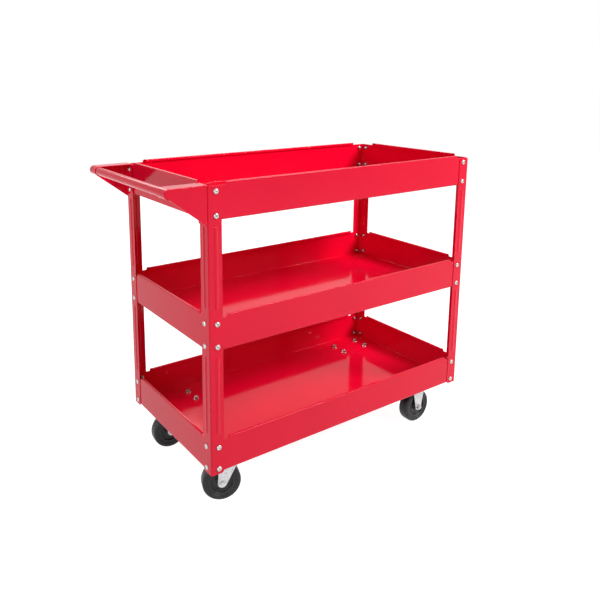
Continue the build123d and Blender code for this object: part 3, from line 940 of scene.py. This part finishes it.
# ------------------------------------------------------------------------------------ wheels
@dataclass
class Wheel:
    """A rubber-tyred wheel: ringed tyre and centre, and the axle bolt through one fork."""

    finishes: Finishes
    corner: Corner
    tyre_d: float = 97.98 * MM
    tyre_w: float = 32.0 * MM
    shoulder: float = 6.0 * MM
    side_ring: tuple[float, float] = (39.3 * MM, 42.3 * MM)
    side_ring_h: float = 0.8 * MM
    line_w: float = 1.0 * MM
    line_h: float = 0.25 * MM
    rim_d: float = 70.0 * MM
    rim_w: float = 28.0 * MM
    rim_depth: float = 6.0 * MM
    web_w: float = 21.0 * MM
    web_ring: tuple[float, float] = (20.4 * MM, 25.6 * MM)
    web_ring_h: float = 1.6 * MM
    hub_d: float = 26.0 * MM
    hub_w: float = 34.0 * MM
    bore_d: float = 12.2 * MM
    fork_w: float = 39.8 * MM
    axle_d: float = 8.0 * MM
    flats: float = 13.0 * MM
    head_h: float = 5.3 * MM
    nut_h: float = 6.5 * MM
    proud: float = 2.5 * MM

    @staticmethod
    def raised_ring(feet: tuple[float, float], base: float, flank: Outline) -> Outline:
        """Return the outline of a ring that stands out of a flat side.

        Args:
            feet: Radii where it starts and ends.
            base: Level of the side.
            flank: Run in from a foot and rise above the side, for each point of one flank.

        Returns:
            Points (radius, height) in metres.
        """
        inner, outer = feet
        return ([(inner + run, base + rise) for run, rise in flank]
                + [(outer - run, base + rise) for run, rise in reversed(flank)])

    def tyre(self) -> bpy.types.Object:
        """Make the tyre on the Z axis: mould line, rounded shoulders and side rings.

        Returns:
            The tyre.
        """
        r, inner = self.tyre_d / 2, self.rim_d / 2
        side, turn = self.tyre_w / 2 - self.side_ring_h, self.shoulder
        corner = [(r - turn + turn * math.sin(a), side - turn + turn * math.cos(a))
                  for a in quarter_turn()]
        flank = [(0.0, 0.0), (0.4 * MM, self.side_ring_h - 0.15 * MM), (0.9 * MM, self.side_ring_h)]
        half = [
            (inner, self.rim_w / 2 - 0.2 * MM), (inner + 0.5 * MM, side - 0.5 * MM),
            (inner + 1.1 * MM, side), *self.raised_ring(self.side_ring, side, flank), *corner,
        ]
        wide, deep = self.line_w / 2, self.line_h
        line = [(r, wide), (r - deep, wide / 2), (r - deep, -wide / 2), (r, -wide)]
        piece = Bench.lathe("tyre", half + line + [(x, -z) for x, z in reversed(half)], steps=112)
        Bench.smooth(piece, degrees=38.0)
        return piece

    def centre(self) -> bpy.types.Object:
        """Make the wheel's centre on the Z axis: rim, ringed web and bored boss.

        Returns:
            The centre.
        """
        rim, web, boss = self.rim_w / 2, self.web_w / 2, self.hub_w / 2
        r, hub, bore = self.rim_d / 2, self.hub_d / 2, self.bore_d / 2
        lip = r - self.rim_depth
        flank = [(0.0, 0.0), (0.6 * MM, 0.4 * MM), (0.9 * MM, 1.3 * MM),
                 (1.3 * MM, self.web_ring_h)]
        half = [
            (bore, boss - 0.5 * MM), (bore + 0.5 * MM, boss), (hub - 0.6 * MM, boss),
            (hub, boss - 0.6 * MM), (hub, web + 0.8 * MM), (hub + 0.8 * MM, web),
            *self.raised_ring(self.web_ring, web, flank),
            (lip - 1.0 * MM, web), (lip - 0.2 * MM, web + 0.6 * MM), (lip, rim - 0.5 * MM),
            (lip + 0.5 * MM, rim), (r - 0.4 * MM, rim), (r - 0.02 * MM, rim - 0.4 * MM),
        ]
        piece = Bench.lathe("centre", half + [(x, -z) for x, z in reversed(half)], steps=96)
        Bench.smooth(piece, degrees=35.0)
        return piece

    def axle_bolt(self) -> bpy.types.Object:
        """Make the axle bolt along Z about the wheel's middle, its head upwards.

        Returns:
            The bolt.
        """
        seat, s = self.fork_w / 2, self.axle_d / 2
        end = -seat - self.nut_h - self.proud
        ridges = thread(s, -seat + 0.5 * MM, end + 1.2 * MM)
        outline = [(0.0, seat), (s, seat), (s, -seat + 1.0 * MM), *ridges,
                   (s - 1.0 * MM, end), (0.0, end)]
        shank = Bench.lathe("shank", outline, steps=32)
        head = Hexagon(self.flats, self.head_h).block(both_ends=False)
        Bench.settle(head, Matrix.Translation((0, 0, seat)))
        bolt = Bench.join("axle_bolt", [shank, head])
        Bench.smooth(bolt, degrees=28.0)
        return bolt

    def build(self) -> list[bpy.types.Object]:
        """Make this corner's tyre, wheel centre, axle bolt and nut, each in its place.

        Returns:
            The four pieces.
        """
        corner, nodes = self.corner.value, frame_nodes()
        low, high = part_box(f"{corner}_tyre")
        middle = (low + high) / 2
        axle = self.axle_direction(nodes[f"{corner}_tyre"].data, middle)
        reach = [(v.co - middle).dot(axle) for v in nodes[f"{corner}_axle_bolt"].data.vertices]
        if max(reach) > -min(reach):
            axle.negate()
        place = Matrix.Translation(middle) @ facing(axle)
        nut = Hexagon(self.flats, self.nut_h).nut(self.axle_d)
        seat = Matrix.Translation((0, 0, -self.fork_w / 2))
        Bench.settle(nut, seat @ Matrix.Rotation(math.pi, 4, "X"))
        plan = {
            f"{corner}_tyre": (self.tyre(), Slot.RUBBER),
            f"{corner}_wheel_hub": (self.centre(), Slot.PLASTIC),
            f"{corner}_axle_bolt": (self.axle_bolt(), Slot.BOLT_ZINC),
            f"{corner}_axle_nut": (nut, Slot.BOLT_ZINC),
        }
        for node, (piece, slot) in plan.items():
            piece.name = piece.data.name = f"{node}_detail"
            self.finishes.fit(Bench.settle(piece, place), node, slot)
        return [piece for piece, _ in plan.values()]

    def axle_direction(self, mesh: bpy.types.Mesh, centre: Vector) -> Vector:
        """Find the axle of a tyre from the upright faces at half its width.

        Args:
            mesh: The tyre's mesh.
            centre: The tyre's middle.

        Returns:
            A unit vector along the axle.
        """
        found, play = Vector((0, 0, 0)), 0.5 * MM
        for face in mesh.polygons:
            reach = (face.center - centre).dot(face.normal)
            if abs(face.normal.z) < LEVEL and abs(reach - self.tyre_w / 2) < play:
                found += (face.normal if face.normal.y > 0 else -face.normal) * face.area
        return found.normalized()


# ------------------------------------------------------------------------------------- stage
@dataclass(frozen=True)
class Lamp:
    """A square soft light aimed at the cart: its side in metres and its power in watts."""

    name: str
    place: Point
    size: float
    power: float
    aim: Point = (0.05, 0.0, 0.4)

    def hang(self) -> None:
        """Add the light to the scene."""
        data = bpy.data.lights.new(self.name, "AREA")
        data.size, data.energy = self.size, self.power
        light = bpy.data.objects.new(self.name, data)
        bpy.context.scene.collection.objects.link(light)
        light.location = self.place
        beam = Vector(self.aim) - Vector(self.place)
        light.rotation_euler = beam.to_track_quat("-Z", "Y").to_euler()


@dataclass
class Stage:
    """Floor, soft light and camera."""

    eye: Point = (-1.0473, -1.3928, 1.0458)
    yaw: float = 34.15
    pitch: float = 11.00
    lens: float = 38.98
    shift: tuple[float, float] = (0.071, -0.17)
    sensor: float = 36.0
    sight: float = 50.0
    fill: float = 0.13
    floor_size: float = 60.0
    floor_grey: float = 0.5
    floor_glow: float = 0.94
    floor_drop: float = 0.5 * MM
    lamps: tuple[Lamp, ...] = (
        Lamp("key", (1.9, -2.4, 2.75), 1.5, 146.0),
        Lamp("overhead", (-0.1, 0.2, 3.2), 2.4, 8.0),
        Lamp("rim", (0.4, 2.7, 3.0), 2.0, 52.0),
        Lamp("left", (-2.6, -0.6, 1.1), 1.2, 25.0),
    )

    def camera(self) -> None:
        """Add the camera and make it the scene's."""
        data = bpy.data.cameras.new("camera")
        data.lens, data.sensor_width = self.lens, self.sensor
        data.shift_x, data.shift_y = self.shift
        data.clip_end = self.sight
        camera = bpy.data.objects.new("camera", data)
        bpy.context.scene.collection.objects.link(camera)
        camera.location = self.eye
        camera.rotation_euler = (math.radians(90 - self.pitch), 0.0, -math.radians(self.yaw))
        bpy.context.scene.camera = camera

    @staticmethod
    def seen_white(tree: bpy.types.NodeTree, shade: bpy.types.NodeSocket,
                   white: bpy.types.NodeSocket) -> bpy.types.NodeSocket:
        """Show white to the camera and to mirrors, and the given shade to other rays.

        Args:
            tree: The node tree to work in.
            shade: What lights the object.
            white: What is seen.

        Returns:
            The mixed socket.
        """
        path = tree.nodes.new("ShaderNodeLightPath")
        seen = path.outputs["Is Camera Ray"]
        for name in ("Is Glossy Ray", "Is Transmission Ray"):
            either = tree.nodes.new("ShaderNodeMath")
            either.operation = "MAXIMUM"
            tree.links.new(seen, either.inputs[0])
            tree.links.new(path.outputs[name], either.inputs[1])
            seen = either.outputs[0]
        mix = tree.nodes.new("ShaderNodeMixShader")
        tree.links.new(seen, mix.inputs[0])
        tree.links.new(shade, mix.inputs[1])
        tree.links.new(white, mix.inputs[2])
        return mix.outputs[0]

    def world(self) -> None:
        """Surround the cart with white, dimmer for light than for the eye."""
        world = bpy.data.worlds.new("studio")
        bpy.context.scene.world = world
        world.use_nodes = True
        tree = world.node_tree
        tree.nodes.clear()
        dim, bright = (tree.nodes.new("ShaderNodeBackground") for _ in range(2))
        dim.inputs["Strength"].default_value = self.fill
        bright.inputs["Strength"].default_value = 1.0
        for node in (dim, bright):
            node.inputs["Color"].default_value = (1, 1, 1, 1)
        output = tree.nodes.new("ShaderNodeOutputWorld")
        mixed = self.seen_white(tree, dim.outputs[0], bright.outputs[0])
        tree.links.new(mixed, output.inputs["Surface"])

    def floor(self) -> None:
        """Add a pale floor that melts into the background and keeps the cart's shadow."""
        Bench.clear()
        bpy.ops.mesh.primitive_plane_add(size=self.floor_size, location=(0, 0, -self.floor_drop))
        floor = bpy.context.object
        floor.name = floor.data.name = "studio_floor"
        material = bpy.data.materials.new("pale_floor")
        material.use_nodes = True
        tree = material.node_tree
        tree.nodes.clear()
        matt = tree.nodes.new("ShaderNodeBsdfDiffuse")
        matt.inputs["Color"].default_value = (*[self.floor_grey] * 3, 1)
        glow = tree.nodes.new("ShaderNodeEmission")
        glow.inputs["Strength"].default_value = self.floor_glow
        lit = tree.nodes.new("ShaderNodeAddShader")
        tree.links.new(matt.outputs[0], lit.inputs[0])
        tree.links.new(glow.outputs[0], lit.inputs[1])
        output = tree.nodes.new("ShaderNodeOutputMaterial")
        mixed = self.seen_white(tree, matt.outputs[0], lit.outputs[0])
        tree.links.new(mixed, output.inputs["Surface"])
        floor.data.materials.append(material)
        floor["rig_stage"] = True

    def build(self) -> None:
        """Set up the whole studio."""
        bpy.context.scene.view_settings.view_transform = "Standard"
        self.camera()
        self.world()
        self.floor()
        for lamp in self.lamps:
            lamp.hang()
        LOG.info("studio ready")


# ---------------------------------------------------------------------------------- assembly
@dataclass
class Cart:
    """The whole cart: finishes on its CAD pieces and detailed pieces over them."""

    finishes: Finishes
    trays: tuple[str, ...] = ("bottom_tray", "middle_tray", "top_tray")
    sheet_edges: dict[str, float] = field(default_factory=lambda: {
        "_tray": 0.3 * MM, "_post": 0.3 * MM, "_bracket_left": 0.3 * MM, "_bracket_right": 0.3 * MM,
        "_fork": 0.45 * MM, "_caster_plate": 0.45 * MM})

    @staticmethod
    def slot_of(node: str) -> Slot:
        """Find the finish that a CAD piece has on the real cart.

        Args:
            node: The node's name.

        Returns:
            The material slot.
        """
        if node.endswith("_tyre"):
            return Slot.RUBBER
        if node.endswith("_wheel_hub"):
            return Slot.PLASTIC
        if node.endswith(("_bolts", "_nuts", "_bolt", "_nut", "_axle_sleeve", "_kingpin")):
            return Slot.BOLT_ZINC
        if node.endswith(("_fork", "_caster_plate", "_race", "_race_cup")):
            return Slot.GALVANISED
        return Slot.PAINT

    def dress_frame(self) -> None:
        """Give each CAD piece its finish."""
        for name, piece in frame_nodes().items():
            self.finishes.dress(piece, self.slot_of(name))
            LOG.info("%s finished as %s", name, self.slot_of(name).value)

    def build(self) -> None:
        """Dress the frame, then add the detailed pieces."""
        self.dress_frame()
        for tray in self.trays:
            TrayFasteners(self.finishes).build(tray)
        CasterFasteners(self.finishes).build()
        for node in list(frame_nodes()):
            for ending, edge in self.sheet_edges.items():
                if node.endswith(ending):
                    SheetPiece(self.finishes, node, self.slot_of(node), edge).build()
        for corner in Corner:
            Wheel(self.finishes, corner).build()


def flat(bounds: tuple[Vector, Vector]) -> list[list[float]]:
    """Return two corners as plain lists."""
    return [[float(value) for value in corner] for corner in bounds]


def main() -> None:
    """Load the frame, build the cart and the studio, and take the sizes before and after."""
    logging.basicConfig(level=logging.INFO, format="%(message)s")
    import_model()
    before = flat(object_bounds())
    Cart(Finishes.make()).build()
    Stage().build()
    {"cad": before, "visual": flat(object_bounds())}


if __name__ == "__main__":
    main()
